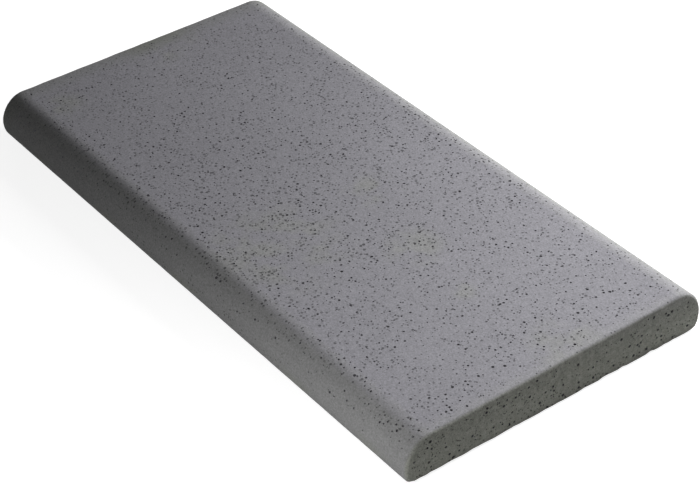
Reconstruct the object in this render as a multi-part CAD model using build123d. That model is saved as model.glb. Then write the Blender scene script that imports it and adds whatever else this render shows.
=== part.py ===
from build123d import *

import os
from math import radians, tan

# Pool coping stone: a concrete slab cast in one piece, with a rounded nose along both long sides.
# X runs along the stone's length, Y from nose to nose and Z up. The origin is the centre of the
# bedding face, which lies in mortar on top of the pool wall. All sizes are in millimetres.

# The whole stone
LENGTH = 600.0
WIDTH = 300.0
THICKNESS = 40.0

# The noses: from the walking face a round runs down to the stone's widest line. From there a
# second arc curves back inwards, until it leans this many degrees in at the bedding face.
NOSE_RADIUS = 25.0
UNDERCUT_ANGLE = 36.87

# The rounded arris of both ends. The edge of the bedding face stays sharp, as it is struck off.
END_ARRIS_RADIUS = 2.5


def cross_section():
    """The stone's outline, seen along its length."""
    flank_height = THICKNESS - NOSE_RADIUS
    undercut = flank_height * tan(radians(UNDERCUT_ANGLE / 2))
    crown = (WIDTH / 2 - NOSE_RADIUS, THICKNESS)
    widest = (WIDTH / 2, flank_height)
    foot = (WIDTH / 2 - undercut, 0)
    with BuildSketch(Plane.YZ) as outline:
        with BuildLine():
            Line((0, THICKNESS), crown)
            TangentArc(crown, widest, tangent=(1, 0))
            TangentArc(widest, foot, tangent=(0, -1))
            Line(foot, (0, 0))
            mirror(about=Plane.YZ)
        make_face()
    return outline.sketch


def end_arrises(slab):
    """The edges around both end faces, all but those of the bedding face."""
    edges = slab.faces().filter_by(Axis.X).edges()
    return edges.filter_by(lambda edge: edge.center().Z > 0)


def coping_stone():
    """The finished stone, as one solid."""
    slab = extrude(cross_section(), amount=LENGTH / 2, both=True)
    return fillet(end_arrises(slab), END_ARRIS_RADIUS)


os.makedirs("parts", exist_ok=True)
export_step(coping_stone(), "parts/coping_stone.step")
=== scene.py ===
"""Looks of the pool coping stone: its cast concrete, the air pores in it, and the stage around it."""

import math
import random

import bmesh
import bpy
from bpy.props import FloatProperty, FloatVectorProperty, IntProperty, PointerProperty
from mathutils import Euler, Matrix, Vector, noise


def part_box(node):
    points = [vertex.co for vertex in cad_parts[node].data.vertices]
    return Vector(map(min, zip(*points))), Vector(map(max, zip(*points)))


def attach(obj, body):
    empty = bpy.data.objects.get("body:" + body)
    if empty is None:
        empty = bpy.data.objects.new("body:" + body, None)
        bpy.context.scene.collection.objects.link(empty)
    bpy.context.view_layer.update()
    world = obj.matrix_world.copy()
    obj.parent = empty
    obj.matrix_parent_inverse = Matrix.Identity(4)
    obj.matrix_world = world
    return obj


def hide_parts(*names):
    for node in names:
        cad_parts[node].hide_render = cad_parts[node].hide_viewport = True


bl_info = {
    "name": "Pool coping stone",
    "version": (1, 0, 0),
    "blender": (4, 5, 0),
    "location": "View3D > Sidebar > Coping",
    "description": "Casts a concrete coping stone with its noses, air pores and rough bedding face",
    "category": "Add Mesh",
}

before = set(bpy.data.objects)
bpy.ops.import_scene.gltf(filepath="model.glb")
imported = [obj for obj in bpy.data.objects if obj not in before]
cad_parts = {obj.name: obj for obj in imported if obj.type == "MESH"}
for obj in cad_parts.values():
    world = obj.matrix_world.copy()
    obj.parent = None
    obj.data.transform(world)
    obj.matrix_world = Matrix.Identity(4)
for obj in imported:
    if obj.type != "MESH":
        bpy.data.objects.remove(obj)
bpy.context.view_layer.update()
NODE = "coping_stone"
LOW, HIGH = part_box(NODE)
HALF_LENGTH, HALF_WIDTH, HEIGHT = HIGH
MM = 0.001
WHITE = (1, 1, 1, 1)


# The sizes and colours that a user would change

class StoneSizes(bpy.types.PropertyGroup):
    """Sizes of the cast body. Its length, width and thickness come from the frame."""

    nose_radius: FloatProperty(
        name="Nose radius", description="Round of both long sides", default=25 * MM, unit="LENGTH")
    nose_steps: IntProperty(
        name="Nose steps", description="Flats that each nose is divided into", default=16, min=4)
    arris_radius: FloatProperty(
        name="Arris radius", description="Round of the edges of both ends", default=2.5 * MM,
        unit="LENGTH")
    arris_steps: IntProperty(
        name="Arris steps", description="Flats that each arris is divided into", default=4, min=1)
    cell: FloatProperty(
        name="Cell", description="Spacing of the mesh along the stone and across its bedding face",
        default=5 * MM, unit="LENGTH")
    face_cell: FloatProperty(
        name="Face cell", description="Spacing of the mesh across the walking face",
        default=10 * MM, unit="LENGTH")
    margin: FloatProperty(
        name="Margin", description="Narrow strip beside each round, which keeps the flat beyond it flat",
        default=1.2 * MM, unit="LENGTH")
    smooth_angle: FloatProperty(
        name="Smooth angle", description="Edges that bend more than this are drawn sharp",
        subtype="ANGLE", default=math.radians(32))
    arris_wear: FloatProperty(
        name="Arris wear", description="Most that a straight arris is rubbed down", default=0.4 * MM,
        unit="LENGTH")
    nose_wear: FloatProperty(
        name="Nose wear", description="Most that an arris is rubbed down round a nose", default=1.0 * MM,
        unit="LENGTH")
    wear_size: FloatProperty(
        name="Wear size", description="Length of the stretches that are rubbed more or less",
        default=16 * MM, unit="LENGTH")
    bed_relief: FloatProperty(
        name="Bed relief", description="Depth of the waves left in the poured bedding face",
        default=0.6 * MM, unit="LENGTH")
    wave_size: FloatProperty(
        name="Wave size", description="Length of the waves of the bedding face", default=30 * MM,
        unit="LENGTH")
    bed_fall: FloatProperty(
        name="Bed fall", description="How much higher the bedding face is at the left nose than the right",
        default=2 * MM, unit="LENGTH")
    rim_bite: FloatProperty(
        name="Rim bite", description="Depth of the bites in the bedding face's rim",
        default=2 * MM, unit="LENGTH")
    bite_size: FloatProperty(
        name="Bite size", description="Length of the bites in the rim", default=11 * MM, unit="LENGTH")
    corner_bite: FloatProperty(
        name="Corner bite", description="Depth to which the bedding face's corners are rounded off",
        default=2.5 * MM, unit="LENGTH")
    rim_reach: FloatProperty(
        name="Rim reach", description="Distance over which a bite fades out",
        default=7 * MM, unit="LENGTH")
    end_lean: FloatProperty(
        name="End lean", description="How far the near end leans in at its upper right corner",
        default=1.8 * MM, unit="LENGTH")
    seed: IntProperty(name="Seed", description="Changes where the stone is worn and bitten", default=3)


class PoreSizes(bpy.types.PropertyGroup):
    """How many air pores open on each face, and how large they are."""

    face_count: IntProperty(
        name="On the face", description="Pores in the walking face", default=2750, min=0)
    end_count: IntProperty(
        name="On each end", description="Pores in each end face", default=190, min=0)
    nose_count: IntProperty(
        name="On each nose", description="Pores in each nose", default=200, min=0)
    bed_count: IntProperty(
        name="On the bed", description="Pores in the bedding face", default=60, min=0)
    smallest: FloatProperty(
        name="Smallest", description="Radius of the smallest pore", default=0.5 * MM, unit="LENGTH")
    largest: FloatProperty(
        name="Largest", description="Radius of the largest pore", default=1.15 * MM, unit="LENGTH")
    end_growth: FloatProperty(
        name="End growth", description="How much larger the pores in the end faces are",
        default=1.15, min=0)
    rarity: FloatProperty(
        name="Rarity", description="How much rarer large pores are than small ones", default=1.6, min=1)
    fine_from: FloatProperty(
        name="Fine from", description="Radius from which a pore gets a finer mesh",
        default=1.0 * MM, unit="LENGTH")
    wall: FloatProperty(
        name="Wall", description="Least concrete between two pores", default=0.25 * MM, unit="LENGTH")
    edge_margin: FloatProperty(
        name="Edge margin", description="Strip beside the arrises that has no pores",
        default=6 * MM, unit="LENGTH")
    cluster: FloatProperty(
        name="Cluster", description="Size of the patches with more or fewer pores",
        default=28 * MM, unit="LENGTH")
    crowding: FloatProperty(
        name="Crowding", description="How much the patches differ", default=0.35, min=0)
    seed: IntProperty(name="Seed", description="Changes where the pores lie", default=7)


class ConcreteColours(bpy.types.PropertyGroup):
    """Colours of the dry concrete."""

    # Partly painted light: the face's cool tint is in part a painted sky reflection, and the ends are
    # darker and more olive in part as painted shade
    face_grey: FloatVectorProperty(
        name="Face grey", description="Cool grey of the walking face", subtype="COLOR", size=3,
        default=(0.258, 0.254, 0.276), min=0, max=1)
    nose_grey: FloatVectorProperty(
        name="Nose grey", description="Plain grey of the noses and the bedding face", subtype="COLOR",
        size=3, default=(0.262, 0.262, 0.262), min=0, max=1)
    end_grey: FloatVectorProperty(
        name="End grey", description="Olive grey of both ends", subtype="COLOR", size=3,
        default=(0.236, 0.241, 0.214), min=0, max=1)
    stain_grey: FloatVectorProperty(
        name="Stain grey", description="Olive grey of the faint stains", subtype="COLOR", size=3,
        default=(0.262, 0.267, 0.245), min=0, max=1)
    rubbed_grey: FloatVectorProperty(
        name="Rubbed grey", description="Lighter grey of the rubbed arrises", subtype="COLOR", size=3,
        default=(0.31, 0.31, 0.30), min=0, max=1)
    # An olive grey darkened as painted shade, for the band along the far end
    far_shade_grey: FloatVectorProperty(
        name="Far shade grey", description="Darker olive grey of the painted shade along the far end", subtype="COLOR",
        size=3, default=(0.20, 0.205, 0.19), min=0, max=1)
    # The dark grey inside the pores is partly dust and partly painted shade in the cavities
    pore_grey: FloatVectorProperty(
        name="Pore grey", description="Dark grey inside the pores", subtype="COLOR", size=3,
        default=(0.1, 0.099, 0.106), min=0, max=1)


class ConcreteFinish(bpy.types.PropertyGroup):
    """Sizes and strengths of the patterns in the concrete."""

    stain_size: FloatProperty(
        name="Stain size", description="Size of the flecks that a stain is made of", default=24 * MM,
        unit="LENGTH")
    stain: FloatProperty(
        name="Stain", description="How far a stain hides the grey under it", default=0.5, min=0, max=1)
    splash_size: FloatProperty(
        name="Splash size", description="Size of the stains low on the noses", default=45 * MM,
        unit="LENGTH")
    splash: FloatProperty(
        name="Splash", description="How far those stains hide the grey under them",
        default=0.6, min=0, max=1)
    rubbing: FloatProperty(
        name="Rubbing", description="How far the rubbed arrises turn lighter",
        default=0.25, min=0, max=1)
    stray_size: FloatProperty(
        name="Stray size", description="Length of the waves in the edge of a rubbed or dirty strip",
        default=9 * MM, unit="LENGTH")
    stray: FloatProperty(
        name="Stray", description="How far the edge of such a strip strays", default=10 * MM,
        unit="LENGTH")
    cloud_size: FloatProperty(
        name="Cloud size", description="Size of the lighter and darker clouds", default=90 * MM,
        unit="LENGTH")
    clouds: FloatProperty(
        name="Clouds", description="How much the clouds change the tone", default=0.12, min=0)
    mottle_size: FloatProperty(
        name="Mottle size", description="Size of the mottle between clouds and grain", default=6 * MM,
        unit="LENGTH")
    mottle: FloatProperty(
        name="Mottle", description="How much the mottle changes the tone", default=0.2, min=0)
    end_mottle: FloatProperty(
        name="End mottle", description="How much more it changes it on the ends", default=0.7, min=0)
    grain_size: FloatProperty(
        name="Grain size", description="Size of the sand grains", default=1.5 * MM, unit="LENGTH")
    grain: FloatProperty(
        name="Grain", description="How much the grains change the tone", default=1.1, min=0)
    pinhole_spacing: FloatProperty(
        name="Pinhole spacing", description="Distance between two pinholes", default=3.1 * MM,
        unit="LENGTH")
    pinhole_reach: FloatProperty(
        name="Pinhole reach", description="Radius of the largest pinhole, as a share of the spacing",
        default=0.39, min=0)
    patch_size: FloatProperty(
        name="Patch size", description="Size of the patches with larger or smaller pinholes",
        default=24 * MM, unit="LENGTH")
    # A pinhole's darkness is painted shade in a hole too small to model
    pinhole_shade: FloatProperty(
        name="Pinhole shade", description="How dark a pinhole is", default=0.8, min=0, max=1)
    trowel_size: FloatProperty(
        name="Trowel size", description="Size of the roughness of the bedding face", default=3 * MM,
        unit="LENGTH")
    bump_depth: FloatProperty(
        name="Bump depth", description="Height of the grain and depth of the pinholes",
        default=0.25 * MM, unit="LENGTH")
    roughness: FloatProperty(
        name="Roughness", description="How matt the concrete is", default=0.88, min=0, max=1)
    gloss: FloatProperty(
        name="Gloss", description="How much the dry surface shines", default=0.12, min=0, max=1)


class StageSizes(bpy.types.PropertyGroup):
    """The camera's place, the floor and the even light."""

    azimuth: FloatProperty(
        name="Azimuth", description="Turn of the camera round the stone", subtype="ANGLE",
        default=math.radians(54.314))
    elevation: FloatProperty(
        name="Elevation", description="Height of the camera above the horizon", subtype="ANGLE",
        default=math.radians(36.864))
    roll: FloatProperty(
        name="Roll", description="Tilt of the camera about its own axis", subtype="ANGLE",
        default=math.radians(-2.145))
    distance: FloatProperty(
        name="Distance", description="From the camera to the point it looks at", default=1.709,
        unit="LENGTH")
    aim: FloatVectorProperty(
        name="Aim", description="Point that the camera looks at", subtype="TRANSLATION", size=3,
        default=(0.0545, -0.0158, HEIGHT / 2))
    lens: FloatProperty(name="Lens", description="Focal length in millimetres", default=105.1, min=1)
    floor_size: FloatProperty(
        name="Floor size", description="Side of the square floor", default=8, unit="LENGTH")
    floor_grey: FloatProperty(
        name="Floor grey", description="Share of its light that the floor throws back on the stone",
        default=0.8, min=0, max=1)
    shadow_grey: FloatProperty(
        name="Shadow grey", description="Share of the floor's own light and shadow that the camera sees",
        default=0.5, min=0, max=1)
    glow: FloatProperty(
        name="Floor glow", description="White that the camera sees added to the floor",
        default=0.85, min=0)
    fade_start: FloatProperty(
        name="Fade start", description="Distance from the middle where the floor starts to turn white",
        default=0.45, unit="LENGTH")
    fade_end: FloatProperty(
        name="Fade end", description="Distance from the middle where the floor is plain white",
        default=0.9, unit="LENGTH")
    sky: FloatProperty(
        name="Sky", description="Strength of the even light from all round", default=0.03, min=0)


# Olive stains on the walking face: the middle of each, and how far it reaches

STAINS = (((0.045, -0.085), 0.080), ((-0.290, 0.015), 0.050), ((0.285, 0.020), 0.040),
          ((0.032, 0.025), 0.035), ((0.115, 0.005), 0.035), ((-0.250, -0.110), 0.030),
          ((0.185, 0.000), 0.015))


# Shading, written as sums

class Wire:
    """A socket of a shader node. A sum written with wires adds the Math nodes that work it out."""

    def __init__(self, paint, socket):
        self.paint = paint
        self.socket = socket

    def __getitem__(self, output):
        """Another output of the same node, by its name."""
        return Wire(self.paint, self.socket.node.outputs[output])

    def __add__(self, other):
        return self.paint.sum("ADD", self, other)

    def __sub__(self, other):
        return self.paint.sum("SUBTRACT", self, other)

    def __rsub__(self, other):
        return self.paint.sum("SUBTRACT", other, self)

    def __mul__(self, other):
        return self.paint.sum("MULTIPLY", self, other)

    __radd__ = __add__
    __rmul__ = __mul__


class Paint:
    """The shader nodes of one material, or of the world."""

    # A Mix node has sockets for numbers, vectors and colours, so those for colours go by number
    MIX_FACTOR, MIX_FIRST, MIX_SECOND, MIX_COLOUR = 0, 6, 7, 2

    def __init__(self, owner):
        owner.use_nodes = True
        self.tree = owner.node_tree
        self.tree.nodes.clear()

    def node(self, kind, settings, sockets, output=0):
        """Adds a node: its settings first, then the value or link of each socket named or numbered."""
        made = self.tree.nodes.new(kind)
        for name, value in settings.items():
            setattr(made, name, value)
        for name, value in sockets.items():
            if isinstance(value, Wire):
                self.tree.links.new(value.socket, made.inputs[name])
            else:
                made.inputs[name].default_value = value
        if made.outputs:
            return Wire(self, made.outputs[output])

    def sum(self, operation, first, second):
        return self.node("ShaderNodeMath", {"operation": operation}, {0: first, 1: second})

    def mix(self, factor, first, second):
        """One colour fading into another as the factor goes from 0 to 1."""
        sockets = {self.MIX_FACTOR: factor, self.MIX_FIRST: first, self.MIX_SECOND: second}
        return self.node("ShaderNodeMix", {"data_type": "RGBA"}, sockets, self.MIX_COLOUR)

    def shade(self, body, level):
        """A colour made darker or lighter by a level around 1."""
        return self.node("ShaderNodeVectorMath", {"operation": "MULTIPLY"}, {0: body, 1: level})

    def shift(self, place, way, distance):
        """A place moved by up to this distance, as a noise's colours say."""
        sockets = {0: way, 1: [distance] * 3, 2: place}
        return self.node("ShaderNodeVectorMath", {"operation": "MULTIPLY_ADD"}, sockets)

    def step(self, value, start, end):
        """A smooth step from 0 where the value is start to 1 where it is end."""
        sockets = {"Value": value, "From Min": start, "From Max": end}
        return self.node("ShaderNodeMapRange", {"interpolation_type": "SMOOTHSTEP"}, sockets)

    def noise(self, place, size, detail=2.0, roughness=0.5):
        """A noise from 0 to 1 whose lumps are this many metres across."""
        sockets = {"Vector": place, "Scale": 1 / size, "Detail": detail, "Roughness": roughness}
        return self.node("ShaderNodeTexNoise", {}, sockets)

    def place(self):
        """Where a point of the surface lies, in the stone's own frame."""
        return self.node("ShaderNodeTexCoord", {}, {}, "Object")

    def matt(self, body, roughness, gloss, **normal):
        """The surface itself, as the tree's result."""
        sockets = {"Base Color": body, "Roughness": roughness, "Specular IOR Level": gloss, **normal}
        self.result(self.node("ShaderNodeBsdfPrincipled", {}, sockets))

    def result(self, shader, kind="Material"):
        self.node(f"ShaderNodeOutput{kind}", {}, {"Surface": shader})


def rgba(values):
    """A colour property as a colour socket takes it."""
    return (*values, 1.0)


def grey(level):
    """A plain grey as a colour socket takes it."""
    return (level, level, level, 1.0)


class Zones:
    """The zones of the concrete, as wires that are 1 inside a zone and 0 outside it. The walking face
    ends at the crown, this far from the stone's middle."""

    def __init__(self, paint, finish, crown):
        self.place = paint.place()
        axes = paint.node("ShaderNodeSeparateXYZ", {}, {"Vector": self.place})
        along, height = axes["X"], axes["Z"]
        from_end = HALF_LENGTH - paint.sum("ABSOLUTE", along, 0)
        from_crown = crown - paint.sum("ABSOLUTE", axes["Y"], 0)
        stray = paint.noise(self.place, finish.stray_size, detail=4) * finish.stray

        # Along the stone, and across it
        self.end = paint.step(from_end, 3.2 * MM, 0.4 * MM)
        self.centre = paint.step(from_end, 120 * MM, 240 * MM)
        self.far_half = paint.step(along, 0, -HALF_LENGTH)
        self.far_strip = paint.step(along + stray, 32 * MM - HALF_LENGTH, 8 * MM - HALF_LENGTH)
        self.near_strip = paint.step(HALF_LENGTH - along + stray, 20 * MM, 8 * MM)
        self.crown_strip = paint.step(from_crown + stray, 8 * MM, 2 * MM)

        # Down the stone, from the walking face to the bedding face
        self.side = paint.step(height, HEIGHT, HEIGHT - 3 * MM)
        self.flank = paint.step(height, HEIGHT - 2 * MM, HEIGHT - 8 * MM)
        self.foot = paint.step(height, 20 * MM, 8 * MM)
        self.low = paint.step(height, HEIGHT, 0)
        # The rim low on each end: it is darkened as painted shade, and it holds larger pinholes
        self.rim = self.end * paint.step(height + stray * 0.4, 8 * MM, 4 * MM)
        self.bed = paint.step(height, 4 * MM, 1 * MM)


def stains(paint, place):
    """How deep in the stains a point lies, all of them together. Each fades out at its reach."""
    total = 0
    for (x, y), reach in STAINS:
        sockets = {0: place, 1: (x, y, HEIGHT)}
        away = paint.node("ShaderNodeVectorMath", {"operation": "DISTANCE"}, sockets, "Value")
        total = total + paint.step(away, reach, reach * 0.3)
    return total


def layered_greys(paint, zones, finish, colours):
    """The greys of the walking face, noses and ends, with stains, rubbed arrises and the darker band of
    painted shade along the far end over them.
    """
    stained = stains(paint, zones.place)
    flecks = paint.step(paint.noise(zones.place, finish.stain_size, detail=4), 0.38, 0.62)
    splashes = paint.step(paint.noise(zones.place, finish.splash_size, detail=3), 0.5, 0.6)
    rubbed = (zones.near_strip + zones.crown_strip) * (1 - zones.side)
    # Painted shade: a darker olive band along the far end's arris, stronger within the stains
    far_shade = zones.far_strip * (0.5 + stained * 0.5) * (1 - zones.end)
    body = rgba(colours.face_grey)
    for cover, layer in ((flecks * stained * finish.stain, colours.stain_grey),
                         (zones.side, colours.nose_grey),
                         (zones.foot * splashes * finish.splash, colours.stain_grey),
                         (zones.end, colours.end_grey),
                         (rubbed * finish.rubbing, colours.rubbed_grey),
                         (far_shade, colours.far_shade_grey)):
        body = paint.mix(cover, body, rgba(layer))
    return body


def tone(paint, zones, finish, grain):
    """How light the concrete is, around 1. The ends are lighter below as painted light from the floor, and
    have a rim of painted shade.
    """
    clouds = paint.noise(zones.place, finish.cloud_size) - 0.5
    mottle = paint.noise(zones.place, finish.mottle_size, detail=4, roughness=0.65) - 0.5
    mottled = mottle * (finish.mottle + zones.end * finish.end_mottle)
    # Painted light: the ends turn lighter towards the bedding face, as if lit from the floor below
    painted_bounce = zones.end * (zones.low * 0.3 - 0.1)
    patterned = clouds * finish.clouds + mottled + grain * finish.grain
    # Painted shade: the rim of each end along the bedding face is made darker
    return (1 + patterned + painted_bounce) * (1 - zones.rim * 0.08)


def crowding(zones):
    """How large the pinholes are, around 1: largest in the centre and in the rim, and small on the
    noses and along the near end."""
    smaller = (zones.flank * 0.45 + zones.near_strip * 0.3) * (1 - zones.end) + zones.end * 0.15
    larger = zones.centre * 0.27 + zones.rim * 0.3
    return 1 + larger - smaller


def pinholes(paint, zones, finish):
    """How deep the holes too small to model are, from 0 to 1. They lie in patches, and are softer
    and shallower towards the far end."""
    ragged = paint.shift(zones.place, paint.noise(zones.place, 1.2 * MM)["Color"], 0.45 * MM)
    sockets = {"Vector": ragged, "Scale": 1 / finish.pinhole_spacing}
    cells = paint.node("ShaderNodeTexVoronoi", {}, sockets, "Distance")
    chance = paint.node("ShaderNodeSeparateColor", {}, {"Color": cells["Color"]})
    patches = paint.step(paint.noise(zones.place, finish.patch_size, detail=3), 0.3, 0.62) * 0.4 + 0.6
    reach = chance["Red"] * patches * crowding(zones) * finish.pinhole_reach
    soft = zones.far_half
    outside, inside = soft * 0.08 + 0.06, soft * -0.03 - 0.05
    depth = chance["Green"] * 0.5 + 0.38
    return paint.step(cells - reach, outside, inside) * depth * (1 - soft * 0.35)


def concrete(colours, finish, crown):
    """Dry cast concrete: its greys, their tone, the grain and pinholes, and the rough bedding face."""
    material = bpy.data.materials.new("cast_concrete")
    paint = Paint(material)
    zones = Zones(paint, finish, crown)
    grain = paint.noise(zones.place, finish.grain_size, detail=3, roughness=0.7) - 0.5
    holes = pinholes(paint, zones, finish)
    trowelled = paint.noise(zones.place, finish.trowel_size, detail=4, roughness=0.6) * zones.bed * 3
    body = paint.shade(layered_greys(paint, zones, finish, colours), tone(paint, zones, finish, grain))
    # Painted shade: each pinhole is darkened as a hole in shade
    body = paint.shade(body, 1 - holes * finish.pinhole_shade)
    bumps = {"Strength": 0.5, "Distance": finish.bump_depth, "Height": grain * 0.5 + trowelled - holes}
    normal = paint.node("ShaderNodeBump", {}, bumps)
    paint.matt(body, roughness=finish.roughness + grain * 0.2, gloss=finish.gloss, Normal=normal)
    return material


def pore_wall(colours):
    """The dark wall inside a pore, dust and painted shade in one, paler towards the far end."""
    material = bpy.data.materials.new("pore_wall")
    paint = Paint(material)
    place = paint.place()
    along = paint.node("ShaderNodeSeparateXYZ", {}, {"Vector": place})["X"]
    dust = paint.noise(place, 2 * MM) * 0.8 + 0.6
    pale = paint.step(along, 0, -HALF_LENGTH) * 1.3
    paint.matt(paint.shade(colours.pore_grey, dust + pale), roughness=0.95, gloss=0.1)
    return material


# Casting the body

# Places nearer to each other than this are taken as one
HAIR = 0.001 * MM


def draw_end(bm, sizes):
    """Draws the outline of one end: a round for each nose, and straight runs above and below."""
    radius = sizes.nose_radius
    centre = Vector((LOW.x, HALF_WIDTH - radius, HEIGHT - radius))
    sweep = math.pi / 2 + math.asin((HEIGHT - radius) / radius)
    crown = bm.verts.new(centre + Vector((0, 0, radius)))
    bmesh.ops.spin(bm, geom=[crown], cent=centre, axis=(1, 0, 0), angle=-sweep, steps=sizes.nose_steps)
    inner = bmesh.ops.extrude_vert_indiv(bm, verts=[crown])["verts"]
    bmesh.ops.translate(bm, verts=inner, vec=(0, -sizes.margin, 0))
    bmesh.ops.mirror(bm, geom=bm.verts[:] + bm.edges[:], axis="Y")
    for height, cell in ((HEIGHT, sizes.face_cell), (0, sizes.cell)):
        pair = [vert for vert in bm.verts
                if len(vert.link_edges) == 1 and abs(vert.co.z - height) < HAIR]
        run = bmesh.ops.contextual_create(bm, geom=pair)["edges"]
        bmesh.ops.subdivide_edges(bm, edges=run, cuts=round(run[0].calc_length() / cell) - 1)


def middle(edge):
    """The point halfway along an edge."""
    return (edge.verts[0].co + edge.verts[1].co) / 2


def draw_out(bm, sizes):
    """Draws the end's outline out to the stone's length, and rounds the arrises of both ends."""
    outline = bmesh.ops.contextual_create(bm, geom=bm.edges[:])["faces"]
    grown = bmesh.ops.extrude_face_region(bm, geom=outline)["geom"]
    far_end = [part for part in grown if isinstance(part, bmesh.types.BMVert)]
    bmesh.ops.translate(bm, verts=far_end, vec=(HIGH.x - LOW.x, 0, 0))
    bmesh.ops.recalc_face_normals(bm, faces=bm.faces[:])
    arrises = [edge for edge in bm.edges
               if abs(middle(edge).x) > HALF_LENGTH - HAIR and middle(edge).z > HAIR]
    bmesh.ops.bevel(bm, geom=arrises, offset=sizes.arris_radius, offset_type="OFFSET", affect="EDGES",
                    segments=sizes.arris_steps, profile=0.5, material=-1, clamp_overlap=True)


def divide(bm, sizes):
    """Divides the body finely enough to be worn, with a narrow strip beside each arris."""
    ends = [face for face in bm.faces if abs(face.calc_center_median().x) > HALF_LENGTH - HAIR]
    bmesh.ops.inset_region(bm, faces=ends, thickness=sizes.margin, use_boundary=True,
                           use_even_offset=True)
    lengthwise = [edge for edge in bm.edges if edge.calc_length() > HALF_LENGTH]
    cuts = round((HIGH.x - LOW.x) / sizes.cell) - 1
    bmesh.ops.subdivide_edges(bm, edges=lengthwise, cuts=cuts, use_grid_fill=True)
    strip = HALF_LENGTH - sizes.arris_radius - sizes.margin
    for side in (-1, 1):
        bmesh.ops.bisect_plane(bm, geom=bm.verts[:] + bm.edges[:] + bm.faces[:], dist=HAIR,
                               plane_co=(side * strip, 0, 0), plane_no=(1, 0, 0))


def lumps(place, size, seed, octaves=3):
    """A smooth random value from about -1 to 1, which changes over this distance."""
    return noise.fractal(place / size + Vector((0, 0, seed)), 1.0, 2.0, octaves)


def clamped(value):
    """The value, kept from 0 to 1."""
    return min(1, max(0, value))


def half_width(z, radius):
    """From the stone's middle to the nose, at a height below the nose's widest line."""
    return HALF_WIDTH - radius + math.sqrt(radius ** 2 - (HEIGHT - radius - z) ** 2)


def rubbed_down(place, sizes):
    """How deep a place is rubbed: deepest in the middle of an arris and round a nose, in stretches."""
    across = (abs(place.x) - (HALF_LENGTH - sizes.arris_radius)) / sizes.arris_radius
    if not 0 < across < 1:
        return 0
    round_share = max(0, abs(place.y) - HALF_WIDTH + sizes.nose_radius) / sizes.nose_radius
    most = sizes.arris_wear + (sizes.nose_wear - sizes.arris_wear) * round_share
    return most * clamped(0.4 + lumps(place, sizes.wear_size, sizes.seed)) * 4 * across * (1 - across)


def lifted(place, sizes):
    """How far the bedding face lies above its lowest level: by its fall, waves, bites and corners.
    The corners of the near end are knocked off the most."""
    flat = Vector((place.x, place.y, 0))
    from_end = max(0, HALF_LENGTH - abs(place.x))
    from_side = max(0, half_width(0, sizes.nose_radius) - abs(place.y))
    fall = 0.5 - 0.5 * place.y / HALF_WIDTH
    wave = clamped(0.5 + 0.5 * lumps(flat, sizes.wave_size, sizes.seed, octaves=4))
    on_rim = max(0, 1 - min(from_end, from_side) / sizes.rim_reach)
    bite = max(0, lumps(flat, sizes.bite_size, -sizes.seed)) * on_rim
    at_corner = max(0, 1 - math.hypot(from_end, from_side) / sizes.rim_reach)
    knock = (0.6 + 0.4 * place.x / HALF_LENGTH) * at_corner
    return (sizes.bed_fall * fall + sizes.bed_relief * wave + sizes.rim_bite * bite
            + sizes.corner_bite * knock)


def wear(bm, sizes):
    """Rubs the arrises down, and shapes the bedding face. The noses keep their round where it lifts."""
    radius = sizes.nose_radius
    bm.normal_update()
    for vert in bm.verts:
        place = vert.co.copy()
        if place.z > sizes.rim_reach:
            vert.co -= vert.normal * rubbed_down(place, sizes)
        else:
            vert.co.z += lifted(place, sizes) * (1 - place.z / sizes.rim_reach)
            vert.co.y *= half_width(vert.co.z, radius) / half_width(place.z, radius)


# Opening the pores

# How much a bubble is stretched, and how deep its middle lies, as shares of its radius
STRETCH = (0.8, 1.25)
SUNK = (0.1, 0.5)

# Bubbles that are gathered in a small mesh before they join the large one
BATCH = 40


class Crowd:
    """The pores opened so far, in bins, so that a new one can be kept clear of its neighbours."""

    def __init__(self, sizes):
        self.wall = sizes.wall
        self.bin = 2 * sizes.largest * max(1, sizes.end_growth) + sizes.wall
        self.bins = {}

    def key(self, place):
        """The bin that a place falls in."""
        return tuple(math.floor(value / self.bin) for value in place)

    def has_room(self, place, radius):
        """Whether a pore here would leave a wall between itself and each of its neighbours."""
        x, y, z = self.key(place)
        near = ((x + i, y + j, z + k) for i in (-1, 0, 1) for j in (-1, 0, 1) for k in (-1, 0, 1))
        return all((place - other).length > radius + size + self.wall
                   for key in near for other, size in self.bins.get(key, ()))

    def add(self, place, radius):
        self.bins.setdefault(self.key(place), []).append((place, radius))


def face_spot(rng, sizes, radius):
    """A random spot on the walking face, and the way out of the stone there."""
    place = Vector((rng.uniform(-1, 1) * (HALF_LENGTH - sizes.edge_margin),
                    rng.uniform(-1, 1) * (HALF_WIDTH - radius), HEIGHT))
    return place, Vector((0, 0, 1))


def bed_spot(rng, sizes, radius):
    """A random spot on the bedding face."""
    place, out = face_spot(rng, sizes, radius)
    return Vector((place.x, place.y, 0)), -out


def nose_spot(rng, sizes, radius):
    """A random spot on either nose, more often near the walking face."""
    side = rng.choice((-1, 1))
    angle = math.radians(rng.uniform(1, 8) ** 2)
    out = Vector((0, side * math.sin(angle), math.cos(angle)))
    centre = Vector((rng.uniform(-1, 1) * (HALF_LENGTH - sizes.edge_margin),
                     side * (HALF_WIDTH - radius), HEIGHT - radius))
    return centre + out * radius, out


def end_spot(rng, sizes, radius):
    """A random spot on either end face, clear of its arris and of the bedding face's rim."""
    side = rng.choice((-1, 1))
    while True:
        y = rng.uniform(-1, 1) * HALF_WIDTH
        z = rng.uniform(sizes.edge_margin / 2, HEIGHT)
        beyond = max(0, abs(y) - HALF_WIDTH + radius)
        above = max(0, z - HEIGHT + radius)
        if math.hypot(beyond, above) < radius - sizes.edge_margin * 0.8:
            return Vector((side * HALF_LENGTH, y, z)), Vector((side, 0, 0))


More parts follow.
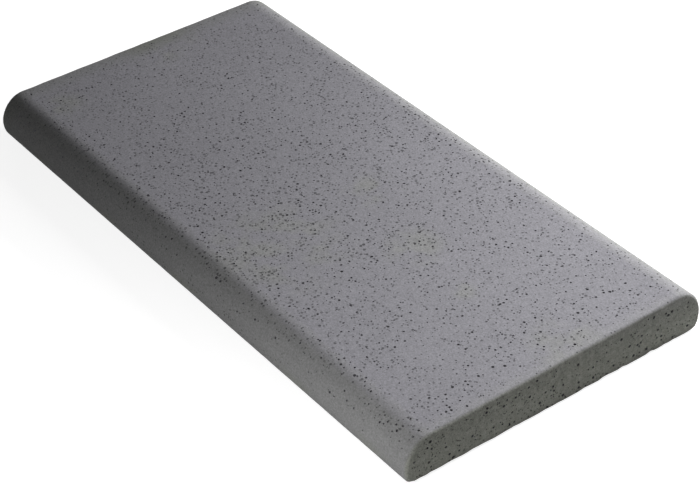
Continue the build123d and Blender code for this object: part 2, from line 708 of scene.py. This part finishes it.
def bubble(rng, sizes, place, out, radius):
    """A bubble's fineness and its shape, sunk so that its mouth is a little narrower than its belly."""
    turn = Euler([rng.uniform(0, math.tau) for _ in range(3)]).to_matrix().to_4x4()
    stretch = Matrix.Diagonal([radius * rng.uniform(*STRETCH) for _ in range(3)] + [1])
    sunk = place - out * radius * rng.uniform(*SUNK)
    return (2 if radius > sizes.fine_from else 1), Matrix.Translation(sunk) @ turn @ stretch


def scatter(rng, crowd, sizes, count, spot, growth, nose_radius):
    """Bubbles at random spots of one kind, more of them in some patches than in others."""
    opened = []
    while len(opened) < count:
        place, out = spot(rng, sizes, nose_radius)
        largeness = rng.random() ** sizes.rarity
        radius = (sizes.smallest + (sizes.largest - sizes.smallest) * largeness) * growth
        chance = 0.75 + sizes.crowding * lumps(place, sizes.cluster, sizes.seed, octaves=2)
        if rng.random() < chance and crowd.has_room(place, radius):
            crowd.add(place, radius)
            opened.append(bubble(rng, sizes, place, out, radius))
    return opened


def gather(bubbles):
    """All the bubbles as one mesh of closed shells. It grows batch by batch, because a ball is added
    to a small mesh much sooner than to a large one."""
    whole = bmesh.new()
    carrier = bpy.data.meshes.new("batch")
    for first in range(0, len(bubbles), BATCH):
        batch = bmesh.new()
        for fineness, shape in bubbles[first:first + BATCH]:
            bmesh.ops.create_icosphere(batch, subdivisions=fineness, radius=1, matrix=shape)
        batch.to_mesh(carrier)
        batch.free()
        whole.from_mesh(carrier)
    bpy.data.meshes.remove(carrier)
    return whole


def blow(sizes, nose_radius):
    """The bubbles of every face, which open as its pores."""
    rng = random.Random(sizes.seed)
    crowd = Crowd(sizes)
    bubbles = []
    for count, spot, growth in ((sizes.face_count, face_spot, 1),
                                (2 * sizes.end_count, end_spot, sizes.end_growth),
                                (2 * sizes.nose_count, nose_spot, 1),
                                (sizes.bed_count, bed_spot, 1)):
        bubbles += scatter(rng, crowd, sizes, count, spot, growth, nose_radius)
    return gather(bubbles)


# Objects

def piece_from(bm, name, *materials):
    """A piece at the origin from a finished bmesh."""
    mesh = bpy.data.meshes.new(name)
    bm.to_mesh(mesh)
    bm.free()
    for material in materials:
        mesh.materials.append(material)
    piece = bpy.data.objects.new(name, mesh)
    bpy.context.scene.collection.objects.link(piece)
    return piece


def cut_out(piece, cutter):
    """Cuts one object out of another for good, and deletes the cutter."""
    cut = piece.modifiers.new("Air pores", "BOOLEAN")
    cut.operation = "DIFFERENCE"
    cut.solver = "MANIFOLD"
    cut.object = cutter
    graph = bpy.context.evaluated_depsgraph_get()
    finished = bpy.data.meshes.new_from_object(piece.evaluated_get(graph))
    piece.modifiers.clear()
    piece.data = finished
    bpy.data.objects.remove(cutter)


def lean(mesh, sizes):
    """Leans the near end in towards its upper right corner."""
    for vert in mesh.vertices:
        x, y, z = vert.co
        vert.co.x -= sizes.end_lean * max(0, x / HALF_LENGTH) * (0.5 + 0.5 * y / HALF_WIDTH) * z / HEIGHT


class COPING_OT_cast_stone(bpy.types.Operator):
    """Cast the coping stone, open its air pores and finish its concrete"""

    bl_idname = "coping.cast_stone"
    bl_label = "Cast the stone"

    def execute(self, context):
        scene = context.scene
        sizes, colours = scene.stone_sizes, scene.concrete_colours
        body = bmesh.new()
        for work in (draw_end, draw_out, divide, wear):
            work(body, sizes)
        skin = concrete(colours, scene.concrete_finish, crown=HALF_WIDTH - sizes.nose_radius)
        stone = piece_from(body, "cast_stone", skin, pore_wall(colours))
        holes = blow(scene.pore_sizes, sizes.nose_radius)
        for face in holes.faces:
            face.material_index = 1
        cut_out(stone, piece_from(holes, "bubbles", *stone.data.materials))
        if not stone.data.polygons:
            raise RuntimeError("nothing is left of the stone once its pores are cut out")
        lean(stone.data, sizes)
        stone.data.shade_smooth()
        stone.data.set_sharp_from_angle(angle=sizes.smooth_angle)
        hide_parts(NODE)
        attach(stone, "root")
        return {"FINISHED"}


# The stage

# The softboxes: where each stands, the length of its side and its power
LAMPS = {
    "key_softbox": {"place": (0.20, 0.45, 0.40), "size": 0.20, "watts": 2.2},
    "near_softbox": {"place": (0.32, 0.0, 0.26), "size": 0.20, "watts": 0.19},
    "side_softbox": {"place": (0.0, 1.60, 0.61), "size": 0.30, "watts": 30.5},
    "low_fill": {"place": (0.30, -0.42, 0.16), "size": 0.28, "watts": 0.71},
    "far_fill": {"place": (-0.85, 0.10, 0.07), "size": 0.12, "watts": 0.8},
}
LAMP_AIM = Vector((0.1, 0, 0.02))


def add_lamp(name, place, size, watts):
    """A square softbox turned towards the stone, which the camera doesn't see."""
    light = bpy.data.lights.new(name, "AREA")
    light.size = size
    light.energy = watts
    lamp = bpy.data.objects.new(name, light)
    spot = Vector(place)
    facing = (spot - LAMP_AIM).to_track_quat("Z", "Y").to_matrix().to_4x4()
    lamp.matrix_world = Matrix.Translation(spot) @ facing
    lamp.visible_camera = False
    bpy.context.scene.collection.objects.link(lamp)


def seen(paint):
    """1 for what the camera sees, straight, in a gloss or through glass, and 0 for light on the stone."""
    ray = paint.node("ShaderNodeLightPath", {}, {})
    seen_straight = ray["Is Camera Ray"] + ray["Is Glossy Ray"] + ray["Is Transmission Ray"]
    return paint.sum("MINIMUM", seen_straight, 1)


def floor_paint(stage):
    """Pale floor: grey to the light that reaches the stone, and nearly white to the camera."""
    material = bpy.data.materials.new("pale_floor")
    paint = Paint(material)
    lit = paint.node("ShaderNodeBsdfDiffuse", {}, {"Color": grey(stage.floor_grey)})
    shadowed = paint.node("ShaderNodeBsdfDiffuse", {}, {"Color": grey(stage.shadow_grey)})
    glow = paint.node("ShaderNodeEmission", {}, {"Strength": stage.glow})
    near = paint.node("ShaderNodeAddShader", {}, {0: shadowed, 1: glow})
    white = paint.node("ShaderNodeEmission", {}, {"Strength": 1.0})
    away = paint.node("ShaderNodeVectorMath", {"operation": "LENGTH"}, {0: paint.place()}, "Value")
    far = paint.step(away, stage.fade_start, stage.fade_end)
    pale = paint.node("ShaderNodeMixShader", {}, {0: far, 1: near, 2: white})
    paint.result(paint.node("ShaderNodeMixShader", {}, {0: seen(paint), 1: lit, 2: pale}))
    return material


def light_world(stage):
    """Even light from all round, in front of white."""
    world = bpy.data.worlds.new("studio")
    paint = Paint(world)
    even = paint.node("ShaderNodeBackground", {}, {"Strength": stage.sky, "Color": WHITE})
    white = paint.node("ShaderNodeBackground", {}, {"Strength": 1.0, "Color": WHITE})
    paint.result(paint.node("ShaderNodeMixShader", {}, {0: seen(paint), 1: even, 2: white}), "World")
    bpy.context.scene.world = world


def lay_floor(stage):
    """The floor that the stone lies on."""
    bm = bmesh.new()
    bmesh.ops.create_grid(bm, x_segments=1, y_segments=1, size=stage.floor_size / 2)
    piece_from(bm, "floor", floor_paint(stage))


def set_camera(stage):
    """The camera, turned round the point it looks at as in the photograph."""
    level, turn = stage.elevation, stage.azimuth
    back = Vector((math.sin(turn) * math.cos(level), -math.cos(turn) * math.cos(level), math.sin(level)))
    data = bpy.data.cameras.new("camera")
    data.lens = stage.lens
    camera = bpy.data.objects.new("camera", data)
    facing = back.to_track_quat("Z", "Y").to_matrix().to_4x4() @ Matrix.Rotation(stage.roll, 4, "Z")
    camera.matrix_world = Matrix.Translation(Vector(stage.aim) + back * stage.distance) @ facing
    bpy.context.scene.collection.objects.link(camera)
    bpy.context.scene.camera = camera


class COPING_OT_set_stage(bpy.types.Operator):
    """Set the camera, the softboxes, the floor and the even light"""

    bl_idname = "coping.set_stage"
    bl_label = "Set the stage"

    def execute(self, context):
        stage = context.scene.stage_sizes
        set_camera(stage)
        lay_floor(stage)
        light_world(stage)
        for name, lamp in LAMPS.items():
            add_lamp(name, **lamp)
        context.scene.view_settings.view_transform = "Standard"
        return {"FINISHED"}


class COPING_PT_panel(bpy.types.Panel):
    """Sizes, colours and the steps that make the stone"""

    bl_label = "Pool coping stone"
    bl_space_type = "VIEW_3D"
    bl_region_type = "UI"
    bl_category = "Coping"

    def draw(self, context):
        layout = self.layout
        for name, kind in GROUPS.items():
            box = layout.box()
            group = getattr(context.scene, name)
            for setting in kind.__annotations__:
                box.prop(group, setting)
        for operator in OPERATORS:
            layout.operator(operator.bl_idname)


GROUPS = {"stone_sizes": StoneSizes, "pore_sizes": PoreSizes, "concrete_colours": ConcreteColours,
          "concrete_finish": ConcreteFinish, "stage_sizes": StageSizes}
OPERATORS = (COPING_OT_cast_stone, COPING_OT_set_stage)
CLASSES = (*GROUPS.values(), *OPERATORS, COPING_PT_panel)


def register():
    for kind in CLASSES:
        bpy.utils.register_class(kind)
    for name, kind in GROUPS.items():
        setattr(bpy.types.Scene, name, PointerProperty(type=kind))


def unregister():
    for name in GROUPS:
        delattr(bpy.types.Scene, name)
    for kind in reversed(CLASSES):
        bpy.utils.unregister_class(kind)


def main():
    """Makes everything in order."""
    register()
    bpy.ops.coping.cast_stone()
    bpy.ops.coping.set_stage()


if __name__ == "__main__":
    main()
